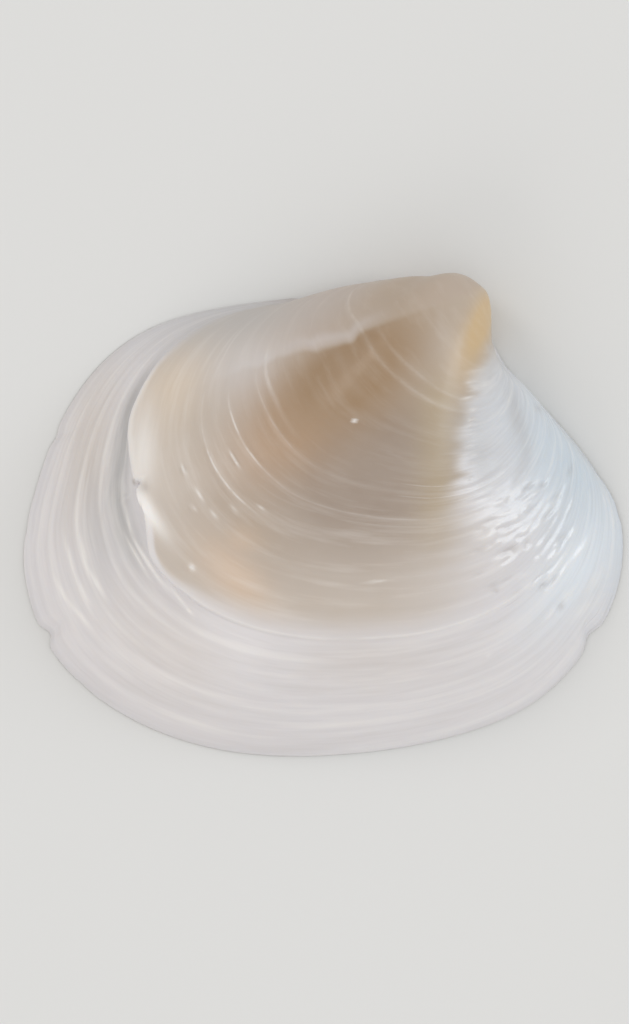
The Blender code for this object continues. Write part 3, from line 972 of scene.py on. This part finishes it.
def valve_arrays(sizes):
    """Points, faces, the number of outside faces, and numbers at each point of the closed valve.

    The outer face, the land as rings from the outer border to the inner one, and the inner
    face, which keeps every third row and column, so the last ring joins three steps to one.
    """
    size_rows = spread(ROWS, row_weight)[1:]
    share_columns = spread(COLUMNS, column_weight)
    size, share = np.meshgrid(size_rows, share_columns, indexing="ij")
    outer = outer_face(size, share, sizes)
    tip = growth_surface(np.zeros(1), np.zeros(1))
    thin_size = size[THIN - 1::THIN, ::THIN]
    thin_share = share[THIN - 1::THIN, ::THIN]
    inner = inner_face(thin_size, thin_share)
    inner_tip = inner_face(np.zeros(1), np.zeros(1))

    outer_points = np.concatenate([tip, outer.reshape(-1, 3)])
    outer_loop = border_loop(0, ROWS, COLUMNS)
    loop_size = np.concatenate([[0.0], size.ravel()])[outer_loop]
    loop_share = np.concatenate([[0.0], share.ravel()])[outer_loop]
    inner_border = inner_face(loop_size, loop_share)
    outer_border = outer_points[outer_loop]
    weight = np.linspace(0.0, 1.0, RINGS + 1)[1:-1, None, None]
    land = outer_border * (1.0 - weight) + inner_border * weight
    land[..., 2] = land_relief(land)
    turns = len(outer_loop)

    inner_first = len(outer_points) + (RINGS - 1) * turns
    thin_rows = ROWS // THIN
    thin_columns = COLUMNS // THIN
    points = np.concatenate([outer_points, land.reshape(-1, 3), inner_tip, inner.reshape(-1, 3)])
    inner_loop = border_loop(inner_first, thin_rows, thin_columns)

    quads, tips = face_quads(0, ROWS, COLUMNS, True)
    inner_quads, inner_tips = face_quads(inner_first, thin_rows, thin_columns, False)
    land_loops = len(outer_points) + np.arange((RINGS - 1) * turns).reshape(-1, turns)
    rings = np.concatenate([outer_loop[None], land_loops])
    ring_next = np.roll(rings, -1, axis=1)
    land_quads = np.stack([rings[:-1], ring_next[:-1], ring_next[1:], rings[1:]], axis=-1)
    land_quads = land_quads.reshape(-1, 4)
    last = rings[-1].reshape(-1, THIN)
    following = ring_next[-1].reshape(-1, THIN)
    near, far = inner_loop, np.roll(inner_loop, -1)
    seam = np.concatenate([
        np.stack([last[:, 0], last[:, 1], near], axis=1),
        np.stack([last[:, 1], far, near], axis=1),
        np.stack([last[:, 1], last[:, 2], far], axis=1),
        np.stack([last[:, 2], following[:, 2], far], axis=1),
    ])
    faces = quads.tolist() + tips.tolist()
    outside_count = len(faces)
    faces += land_quads.tolist() + seam.tolist() + inner_quads.tolist() + inner_tips.tolist()

    land_size = np.broadcast_to(loop_size, (RINGS - 1, turns)).ravel()
    land_share = np.broadcast_to(loop_share, (RINGS - 1, turns)).ravel()
    land_weight = np.broadcast_to(weight[..., 0], (RINGS - 1, turns)).ravel()
    on_outer, on_inner = np.zeros(len(outer_points)), np.ones(1 + thin_size.size)
    numbers = {
        "size": np.concatenate([[0.0], size.ravel(), land_size, [0.0], thin_size.ravel()]),
        "share": np.concatenate([[0.5], share.ravel(), land_share, [0.5], thin_share.ravel()]),
        "land": np.concatenate([on_outer, land_weight, on_inner]),
        "outside": np.arange(len(points)) < len(outer_points),
    }
    return points, faces, outside_count, numbers


def colour_zones(points, size, share):
    """Weights of the colour zones over the outer face, each from 0 to 1.

    Each is a soft patch in plan, a smooth step or a rounded bump in size, age, share or distance
    from a line, or a product of these. Old is the shell inside the ledge. Front is the slope
    beyond the front line, whose border runs out in tongues along the growth lines; the pale
    shell there carries a painted bluish sheen and, lower down, a painted blue-white highlight.
    Crown, amber and middle are the browns below the crown's upper boundary, with the beige slope
    and a pale band above it. Ray runs from the beak to the foot, and umbo is the youngest shell,
    paler towards the front partly as painted light. The ledge's rim and fold are its pale edge
    with a painted highlight, and grey takes the upper rear and paints shade into the groove
    outside the ledge. The raised marks get painted highlights, and the pits and the chip in the
    ledge get painted shade. Lined says how strongly the growth lines streak the colour. The rest
    are patches, some only inside or outside the ledge.
    """
    x, y = points[:, 0], points[:, 1]
    age = growth_age(size, share)
    spots = {name: np.minimum(1.0, strength * patch(x, y, *place))
             for name, (*place, strength) in PATCHES.items()}
    marks = marks_rise(x, y)

    line = np.array(FRONT_LINE)
    tongues = TONGUE_REACH * streaks(age, share, *TONGUES)
    soft = FRONT_SOFT[0] + FRONT_SOFT[1] * blend(*STEPS["front_softens_y"], y)
    front = blend(-soft, soft, x - smooth_curve(line[:, 0], line[:, 1], y) + tongues)
    front = front * blend(*STEPS["front_starts_y"], y)
    behind = 1.0 - front

    line_x, line_y, line_turn = CROWN_LINE
    turn = math.radians(line_turn)
    wobble = WOBBLE_REACH * streaks(age, share, *WOBBLES)
    above = (y - line_y) * math.cos(turn) - (x - line_x) * math.sin(turn) + wobble
    above = above + CROWN_STEP * between(PARTS["crown_step_x"], x)
    below = 1.0 - blend(-CROWN_SOFT, CROWN_SOFT, above)

    ledge = ledge_place(share)
    faint = 1.0 - between(PARTS["ledge_crisp"], share)
    end = ledge - OLD_BACK * bump(share, *OLD_BACK_PLACE) + OLD_OUT * faint
    old = 1.0 - blend(end - (OLD_SOFT[0] + OLD_SOFT[1] * faint), end, age)
    # Painted shade in the groove outside the ledge
    offset, half_width = GROOVE_SHADE
    groove = bump(age, LEDGE_SIZE + offset, half_width) * between(PARTS["groove_shade"], share)
    # Pale rim of the ledge with a painted highlight
    offset, half_width = PALE_RIM_AND_HIGHLIGHT
    rim_pale_and_highlight = bump(age, ledge - offset, half_width) * between(PARTS["ledge_rim"], share)

    ray = bump(x, *RAY) * blend(*STEPS["ray_starts_y"], y)
    ray = ray * (1.0 - RAY_FADE * blend(*STEPS["ray_fades_y"], y))
    umbo = 1.0 - blend(*STEPS["umbo_ends_size"], size)
    umbo = umbo * (1.0 - UMBO_FADES[0] * blend(*STEPS["umbo_rear_share"], share))
    # Paler towards the front, partly painted light on the lit front of the beak
    umbo = umbo * (1.0 - UMBO_FADES[1] * blend(*STEPS["umbo_lit_front_x"], x))
    plain, more, middle_part = LINED
    streaked = np.maximum(front, blend(*STEPS["later_age"], age))
    streaked = np.maximum(streaked, middle_part * blend(*STEPS["middle_age"], age))
    return {
        "front": front,
        "crown": spots["crown"] * below,
        "amber": spots["amber"] * below,
        "old": old * behind,
        "middle": spots["middle"] * below * old * behind,
        "ray": ray * old * behind,
        "peach": np.maximum(spots["peach"], spots["rust"]) * old,
        "cream": spots["cream"] * old,
        "pale": spots["pale"] * old,
        "slope": (1.0 - below) * blend(*STEPS["slope_x"], x),
        # Grey upper rear and flank, and painted shade in the groove outside the ledge
        "grey_and_groove_shade": np.maximum(np.maximum(spots["dorsal"], spots["flank"]), groove) * behind,
        "mist": spots["mist"],
        "blush": spots["blush"] * old,
        "dim": spots["dim"] * old,
        "skirt": np.maximum(spots["foot"], spots["heel"]) * (1.0 - old),
        # Pale rim of the ledge with a painted highlight
        "rim_pale_and_highlight": rim_pale_and_highlight,
        "gold": np.minimum(spots["gold"] + spots["gold_foot"], 1.0),
        "umbo": umbo,
        # Pale front slope with a painted bluish sheen
        "frost_and_sheen": front * spots["frost_and_sheen"],
        # Pale lower front slope with a painted blue-white highlight
        "ice_and_highlight": front * spots["ice_highlight_patch"],
        "band": bump(above, *BAND) * between(PARTS["crown_x"], x),
        "rear": spots["rear"] * (1.0 - old),
        # Pale fold of the ledge with a painted highlight
        "fold_pale_and_highlight": np.clip(FOLD_PALE_AND_HIGHLIGHT * fold_weight(x, y, age, share), 0.0, 1.0),
        # Painted shade in the chip's hollow
        "chip_shade": np.maximum(spots["chip_shade"], spots["notch_shade"]),
        # Painted highlights on the raised marks, flecks and glints
        "fleck_highlight": np.clip(marks / FLECK_HIGHLIGHT_FULL, 0.0, 1.0) * (1.0 - FLECK_HIGHLIGHT_FADE * front),
        # Painted shade in the pits and hollows
        "pit_shade": np.clip(-marks / PIT_SHADE_FULL, 0.0, 1.0) * blend(*STEPS["pit_shade_x"], x),
        "lined": plain + more * streaked,
    }


class Socket:
    """A node's output that can be used in sums and products, which add Math nodes."""

    def __init__(self, graph, link):
        self.graph = graph
        self.link = link

    def join(self, operation, *values):
        node = self.graph.node("ShaderNodeMath", {"operation": operation}, dict(enumerate(values)))
        return node.out(0)

    def __add__(self, other):
        return self.join("ADD", self, other)

    def __radd__(self, other):
        return self.join("ADD", other, self)

    def __sub__(self, other):
        return self.join("SUBTRACT", self, other)

    def __rsub__(self, other):
        return self.join("SUBTRACT", other, self)

    def __mul__(self, other):
        return self.join("MULTIPLY", self, other)

    def __rmul__(self, other):
        return self.join("MULTIPLY", other, self)

    def __truediv__(self, other):
        return self.join("DIVIDE", self, other)

    def __rtruediv__(self, other):
        return self.join("DIVIDE", other, self)

    def clamp(self):
        """The value kept between 0 and 1."""
        settings = {"operation": "ADD", "use_clamp": True}
        return self.graph.node("ShaderNodeMath", settings, {0: self, 1: 0.0}).out(0)

    def step(self, low, high):
        """Smooth step of the value from 0 at low to 1 at high, which may lie below low."""
        settings = {"interpolation_type": "SMOOTHSTEP"}
        values = {"Value": self, "From Min": low, "From Max": high}
        return self.graph.node("ShaderNodeMapRange", settings, values).out("Result")


class Made:
    """One node that the graph has made."""

    def __init__(self, graph, node):
        self.graph = graph
        self.node = node

    def out(self, name):
        return Socket(self.graph, self.node.outputs[name])


class Graph:
    """Nodes of one material."""

    def __init__(self, name):
        self.material = bpy.data.materials.new(name)
        self.material.use_nodes = True
        self.tree = self.material.node_tree
        self.shader = self.tree.nodes["Principled BSDF"]

    def node(self, kind, settings, values):
        """A node of that type, with its settings made first and then its sockets' values."""
        node = self.tree.nodes.new(kind)
        for name, value in settings.items():
            setattr(node, name, value)
        for name, value in values.items():
            self.feed(node.inputs[name], value)
        return Made(self, node)

    def feed(self, socket, value):
        """Links a socket or sets its value."""
        if isinstance(value, Socket):
            self.tree.links.new(value.link, socket)
        else:
            socket.default_value = value

    def finish(self, **values):
        """Feeds the shader's sockets, whose spaces are written as underscores."""
        for name, value in values.items():
            self.feed(self.shader.inputs[name.replace("_", " ")], value)

    def mark(self, name):
        """One of the piece's own numbers at each point."""
        return self.node("ShaderNodeAttribute", {"attribute_name": name}, {}).out("Fac")

    def mix(self, factor, first, second):
        """A colour between two."""
        sockets = {0: factor, 6: first, 7: second}
        return self.node("ShaderNodeMix", {"data_type": "RGBA"}, sockets).out(2)

    def noise(self, where, scale, detail, roughness):
        """Soft noise from 0 to 1 at the places given."""
        values = {"Vector": where, "Scale": scale, "Detail": detail, "Roughness": roughness}
        return self.node("ShaderNodeTexNoise", {}, values).out("Fac")

    def growth_noise(self, name):
        """Soft noise on the piece's own growth map, stretched along the growth lines."""
        across, along, detail, roughness = GROWTH_NOISES[name]
        parts = self.node("ShaderNodeSeparateXYZ", {}, {"Vector": self.map()})
        values = {"X": parts.out("X") * across, "Y": parts.out("Y") * along, "Z": 0.0}
        where = self.node("ShaderNodeCombineXYZ", {}, values).out("Vector")
        return self.noise(where, 1.0, detail, roughness)

    def bump(self, strength, distance, height):
        """Normal of a surface raised by height, up to a distance in metres."""
        values = {"Strength": strength, "Distance": distance, "Height": height}
        return self.node("ShaderNodeBump", {}, values).out("Normal")

    def map(self):
        """The piece's own growth map: share and age."""
        return self.node("ShaderNodeUVMap", {"uv_map": GROWTH_MAP}, {}).out("UV")

    def place(self):
        """The place on the object in metres."""
        return self.node("ShaderNodeTexCoord", {}, {}).out("Object")


def pale_lines(graph):
    """Strength of the thin pale lines: the sum over the lines of one minus the squared distance
    from the line's age in half widths, faded beyond its shares, made uneven by noise."""
    parts = graph.node("ShaderNodeSeparateXYZ", {}, {"Vector": graph.map()})
    share = parts.out("X")
    wander = graph.growth_noise("wander")
    uneven = graph.growth_noise("uneven").step(*LINE_GAPS)
    age = parts.out("Y") + (wander - MIDDLE) * LINE_WANDER
    total = 0.0
    for place, half_width, start, end, strength in LINES:
        far = (age - place) / half_width
        starts = share.step(start - LINE_END, start + LINE_END)
        shows = starts * share.step(end + LINE_END, end - LINE_END)
        total = total + (1.0 - far * far).clamp() * shows * strength
    return total * (LINE_LEAST + (1.0 - LINE_LEAST) * uneven)


def finish_shell(graph, colour, rough, normal, spread, spread_size, coat, coat_rough):
    """Feeds what outside and inside have alike: glossy, slightly translucent shell."""
    graph.finish(
        Base_Color=colour,
        Roughness=rough.clamp(),
        Normal=normal,
        IOR=SHELL_IOR,
        Subsurface_Weight=spread,
        Subsurface_Radius=SHELL_SPREAD,
        Subsurface_Scale=spread_size,
        Coat_Weight=coat,
        Coat_Roughness=coat_rough,
    )
    return graph.material


def outside_material(colours):
    """Outside: colour layers mottled by a cloud, among them painted highlights and painted shade,
    pale streaks with painted highlights and dark streaks along the growth lines, pale crests
    with a painted highlight and thin lines, and a fine bump of lines and grain. The front slope
    is glossier and the mist duller."""
    graph = Graph("shell_outside")
    place = graph.place()
    broad = graph.growth_noise("broad")
    thin = graph.growth_noise("thin")
    cloud = graph.noise(place, *CLOUD_NOISE)
    grain = graph.noise(place, *GRAIN_NOISE)
    mottle = (cloud - MIDDLE) * MOTTLE
    front = graph.mark("front")
    colour = colours.pearl
    for zone, strength, name in LAYERS:
        weight = (graph.mark(zone) * (strength + mottle)).clamp()
        colour = graph.mix(weight, colour, getattr(colours, name))
    lined = graph.mark("lined")
    by_broad, by_thin = PALE_STREAKS_AND_HIGHLIGHTS
    # Pale streaks along the growth lines, partly painted highlights
    pale_and_highlight_streaks = ((broad - MIDDLE) * by_broad + (thin - MIDDLE) * by_thin).clamp() * lined
    by_broad, by_thin = DARK_STREAKS
    dark = ((MIDDLE - broad) * by_broad + (MIDDLE - thin) * by_thin).clamp() * lined
    colour = graph.mix(pale_and_highlight_streaks, colour, colours.pale_crest_and_highlight)
    colour = graph.mix(dark, colour, colours.shade)
    # Ridge crests made pale, partly a painted highlight
    colour = graph.mix((graph.mark("pale_crest_and_highlight") * CREST_PALE).clamp(), colour, colours.pale_crest_and_highlight)
    lines = pale_lines(graph)
    colour = graph.mix((lines * LINES_PALE).clamp(), colour, colours.pale_crest_and_highlight)
    mist = graph.mark("mist")
    rough = 0.40 - 0.10 * front + (cloud - MIDDLE) * 0.14 + (thin - MIDDLE) * 0.10 + mist * 0.15
    height = (thin - MIDDLE) * (0.35 + 0.6 * front) + (grain - MIDDLE) * 0.20 + lines * 1.2
    normal = graph.bump(0.35, 0.000005, height)
    coat = (0.12 + 0.55 * front - 0.55 * mist).clamp()
    return finish_shell(graph, colour, rough, normal, 0.15, 0.00030, coat, 0.15)


def inside_material(colours):
    """Porcelain-like inside: milky white with a warm middle, glossier scars, the line inside
    the edge, and faint lines along the growth and across it."""
    graph = Graph("shell_inside")
    place = graph.place()
    rings = graph.growth_noise("rings")
    rays = graph.growth_noise("rays")
    cloud = graph.noise(place, *MILK_NOISE)
    warm = (graph.mark("warm") * (0.35 + 0.5 * cloud)).clamp()
    colour = graph.mix(warm, colours.porcelain, colours.warm)
    colour = graph.mix((graph.mark("scar") * 0.55).clamp(), colour, colours.scar)
    colour = graph.mix((graph.mark("pallial") * 0.5).clamp(), colour, colours.scar)
    colour = graph.mix(((rings - 0.45) * 0.5).clamp(), colour, colours.shade)
    colour = graph.mix(((rays - MIDDLE) * 0.35).clamp(), colour, colours.pale_crest_and_highlight)
    rough = 0.26 + (cloud - MIDDLE) * 0.12
    rough = rough + graph.mark("land") * 0.10 - graph.mark("scar") * 0.06
    normal = graph.bump(0.25, 0.000004, (rings - MIDDLE) * 0.6 + (rays - MIDDLE) * 0.5)
    return finish_shell(graph, colour, rough, normal, 0.18, 0.00035, 0.3, 0.12)


def floor_material(colour):
    """Plain matte floor with the faintest cloud in its roughness."""
    graph = Graph("floor_pale")
    cloud = graph.noise(graph.place(), *FLOOR_NOISE)
    rough = (0.75 + 0.1 * cloud).clamp()
    graph.finish(Base_Color=colour, Roughness=rough, Specular_IOR_Level=0.2)
    return graph.material


def put_in_box(points, box):
    """The points moved and scaled on each axis so that their own box becomes the box given."""
    low, high = points.min(axis=0), points.max(axis=0)
    box_low, box_high = np.array(box[0]), np.array(box[1])
    return box_low + (points - low) / (high - low) * (box_high - box_low)


def give_numbers(mesh, name, values):
    """Keeps one number for each point of the mesh under a name."""
    layer = mesh.attributes.new(name, "FLOAT", "POINT")
    layer.data.foreach_set("value", np.asarray(values, np.float32))


def make_valve(sizes, colours):
    """The valve object: its mesh from whole arrays, its growth map, numbers and materials."""
    points, faces, outside_count, numbers = valve_arrays(sizes)
    mesh = bpy.data.meshes.new("right_valve_shell")
    mesh.from_pydata(put_in_box(points, VALVE_BOX).tolist(), [], faces)
    slots = np.ones(len(faces), np.int32)
    slots[:outside_count] = 0
    mesh.polygons.foreach_set("material_index", slots)
    mesh.materials.append(outside_material(colours))
    mesh.materials.append(inside_material(colours))

    size, share = numbers["size"], numbers["share"]
    outside = numbers["outside"]
    age = growth_age(size, share)
    corners = np.empty(len(mesh.loops), np.int32)
    mesh.loops.foreach_get("vertex_index", corners)
    growth = np.stack([share, age], axis=1)[corners].astype(np.float32)
    mesh.uv_layers.new(name=GROWTH_MAP).uv.foreach_set("vector", growth.ravel())

    for name, weight in colour_zones(points, size, share).items():
        give_numbers(mesh, name, np.where(outside, weight, 0.0))
    pale_crest_and_highlight = np.clip(ridge_rise(age, share, sizes) / CREST_FULL, 0.0, 1.0)
    give_numbers(mesh, "pale_crest_and_highlight", pale_crest_and_highlight * outside)
    x, y = points[:, 0], points[:, 1]
    within = numbers["land"] >= 1.0
    give_numbers(mesh, "scar", scar_weight(x, y) * within)
    pallial = bump(size, *PALLIAL) * blend(*PALLIAL_START, share)
    give_numbers(mesh, "pallial", pallial * within)
    give_numbers(mesh, "warm", patch(x, y, *CAVITY_CENTRE, *WARM) * within)
    give_numbers(mesh, "land", ~outside & ~within)

    work = bmesh.new()
    work.from_mesh(mesh)
    bmesh.ops.recalc_face_normals(work, faces=work.faces)
    work.to_mesh(mesh)
    work.free()
    mesh.shade_smooth()
    mesh.set_sharp_from_angle(angle=SHARP_ANGLE)
    valve = bpy.data.objects.new("right_valve_shell", mesh)
    bpy.context.scene.collection.objects.link(valve)
    return valve


def aim(thing, target):
    """Turns an object so that its own -Z points at the target."""
    direction = Vector(target) - thing.location
    thing.rotation_euler = direction.to_track_quat("-Z", "Y").to_euler()


def add_light(name, place, width, power, colour):
    """A square soft light at a place in metres, aimed at the valve."""
    data = bpy.data.lights.new(name, "AREA")
    data.size = width
    data.energy = power
    data.color = colour
    light = bpy.data.objects.new(name, data)
    light.location = place
    aim(light, LIGHT_TARGET)
    bpy.context.scene.collection.objects.link(light)


class ShellSizes(bpy.types.PropertyGroup):
    """Sizes of the valve's relief."""

    ledge_height: FloatProperty(
        name="Ledge height",
        description="How far the old edge stands over later growth at the rear",
        default=0.00012,
        min=0.0,
        precision=6,
        unit="LENGTH",
    )
    ridge_height: FloatProperty(
        name="Ridge height",
        description="Height of the growth ridges, where one millimetre keeps them as tabled",
        default=0.001,
        min=0.0,
        precision=6,
        unit="LENGTH",
    )
    stria_height: FloatProperty(
        name="Fine line height",
        description="Height of the fine growth lines",
        default=0.0000055,
        min=0.0,
        precision=7,
        unit="LENGTH",
    )


def colour_property(name, description, red, green, blue):
    """A full colour with its name and description."""
    return FloatVectorProperty(
        name=name,
        description=description,
        default=(red, green, blue, 1.0),
        size=4,
        min=0.0,
        max=1.0,
        subtype="COLOR",
    )


class ShellColours(bpy.types.PropertyGroup):
    """Colours of the valve."""

    pearl: colour_property("Pearl", "Ground colour of the later growth", 0.70, 0.675, 0.685)
    # Grey of the upper rear, also the painted shade in the groove outside the ledge
    grey_and_groove_shade: colour_property("Grey", "Upper rear and groove", 0.46, 0.45, 0.445)
    tan: colour_property("Tan", "Old shell inside the ledge", 0.57, 0.495, 0.42)
    dusk: colour_property("Dusk", "Dull middle of the crown", 0.29, 0.215, 0.163)
    beige: colour_property("Beige", "Slope above the crown", 0.51, 0.42, 0.36)
    cream: colour_property("Cream", "Upper rear of the old shell", 0.71, 0.59, 0.46)
    peach: colour_property("Peach", "Lower rear of the old shell", 0.66, 0.50, 0.37)
    ray: colour_property("Ray", "Ray from the beak to the lower edge", 0.47, 0.37, 0.23)
    amber: colour_property("Amber", "Lower rear of the crown", 0.48, 0.31, 0.19)
    brown: colour_property("Brown", "Crown below the beak", 0.335, 0.215, 0.115)
    umbo: colour_property("Umbo", "Youngest shell at the beak", 0.43, 0.33, 0.235)
    # Pale front slope's colour with a painted bluish sheen of the window light
    frost_and_sheen: colour_property("Frost", "Front slope", 0.57, 0.645, 0.71)
    # Pale lower front slope's colour with a painted blue-white highlight
    ice_and_highlight: colour_property("Ice", "Lower front slope", 0.75, 0.805, 0.86)
    gold: colour_property("Gold", "Front side of the beak", 0.61, 0.43, 0.225)
    # Pale of growth lines and crests, also the colour of the painted highlights
    pale_crest_and_highlight: colour_property("Crest", "Pale growth lines", 0.88, 0.85, 0.82)
    shade: colour_property("Shade", "Dark streaks between growth lines", 0.40, 0.36, 0.33)
    porcelain: colour_property("Porcelain", "Inside of the valve", 0.78, 0.75, 0.71)
    warm: colour_property("Warm", "Middle of the inside", 0.62, 0.50, 0.39)
    scar: colour_property("Scar", "Muscle scars and line inside the edge", 0.60, 0.57, 0.54)


class ShellStage(bpy.types.PropertyGroup):
    """Floor and lights."""

    floor_colour: colour_property("Floor", "Colour of the floor", 0.74, 0.74, 0.73)
    light_power: FloatProperty(
        name="Light",
        description="Power of the main light in watts",
        default=0.075,
        min=0.0,
        unit="POWER",
    )


class SHELL_OT_valve(bpy.types.Operator):
    """Grow the valve and set it in place of the plain solid"""

    bl_idname = "shell.valve"
    bl_label = "Valve"

    def execute(self, context):
        valve = make_valve(context.scene.shell_sizes, context.scene.shell_colours)
        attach(valve, "root")
        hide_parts("right_valve")
        return {"FINISHED"}


class SHELL_OT_stage(bpy.types.Operator):
    """Add the floor, the soft lights and the camera that looks straight down"""

    bl_idname = "shell.stage"
    bl_label = "Stage"

    def execute(self, context):
        stage = context.scene.shell_stage
        corners = [
            (x * FLOOR_HALF, y * FLOOR_HALF, -FLOOR_DROP)
            for x, y in ((-1, -1), (1, -1), (1, 1), (-1, 1))
        ]
        mesh = bpy.data.meshes.new("floor")
        mesh.from_pydata(corners, [], [(0, 1, 2, 3)])
        mesh.materials.append(floor_material(stage.floor_colour))
        floor = bpy.data.objects.new("floor", mesh)
        context.scene.collection.objects.link(floor)

        for name, place, width, part, colour in LIGHTS:
            add_light(name, place, width, part * stage.light_power, colour)

        world = bpy.data.worlds.new("studio")
        world.use_nodes = True
        back = world.node_tree.nodes["Background"]
        back.inputs["Color"].default_value = STUDIO_COLOUR
        back.inputs["Strength"].default_value = STUDIO_STRENGTH
        context.scene.world = world
        context.scene.view_settings.view_transform = "Standard"

        data = bpy.data.cameras.new("camera")
        data.sensor_fit = "VERTICAL"
        data.sensor_height = CAMERA_SENSOR / MM
        data.lens = CAMERA_SENSOR / MM * CAMERA_HEIGHT / FRAME_HEIGHT
        data.clip_start, data.clip_end = CAMERA_RANGE
        camera = bpy.data.objects.new("camera", data)
        camera.location = (FRAME_MIDDLE[0], FRAME_MIDDLE[1], CAMERA_HEIGHT)
        context.scene.collection.objects.link(camera)
        context.scene.camera = camera
        return {"FINISHED"}


class SHELL_PT_panel(bpy.types.Panel):
    """Lists what the add-on makes and the values it uses"""

    bl_idname = "SHELL_PT_panel"
    bl_label = "Shell"
    bl_space_type = "VIEW_3D"
    bl_region_type = "UI"
    bl_category = "Shell"

    def draw(self, context):
        layout = self.layout
        scene = context.scene
        for group in (scene.shell_sizes, scene.shell_colours, scene.shell_stage):
            column = layout.column()
            for name in group.__annotations__:
                column.prop(group, name)
        layout.operator(SHELL_OT_valve.bl_idname)
        layout.operator(SHELL_OT_stage.bl_idname)


CLASSES = (ShellSizes, ShellColours, ShellStage, SHELL_OT_valve, SHELL_OT_stage, SHELL_PT_panel)


def register():
    for item in CLASSES:
        bpy.utils.register_class(item)
    bpy.types.Scene.shell_sizes = PointerProperty(type=ShellSizes)
    bpy.types.Scene.shell_colours = PointerProperty(type=ShellColours)
    bpy.types.Scene.shell_stage = PointerProperty(type=ShellStage)


def unregister():
    del bpy.types.Scene.shell_stage
    del bpy.types.Scene.shell_colours
    del bpy.types.Scene.shell_sizes
    for item in reversed(CLASSES):
        bpy.utils.unregister_class(item)


def main():
    register()
    bpy.ops.shell.valve()
    bpy.ops.shell.stage()


if __name__ == "__main__":
    main()
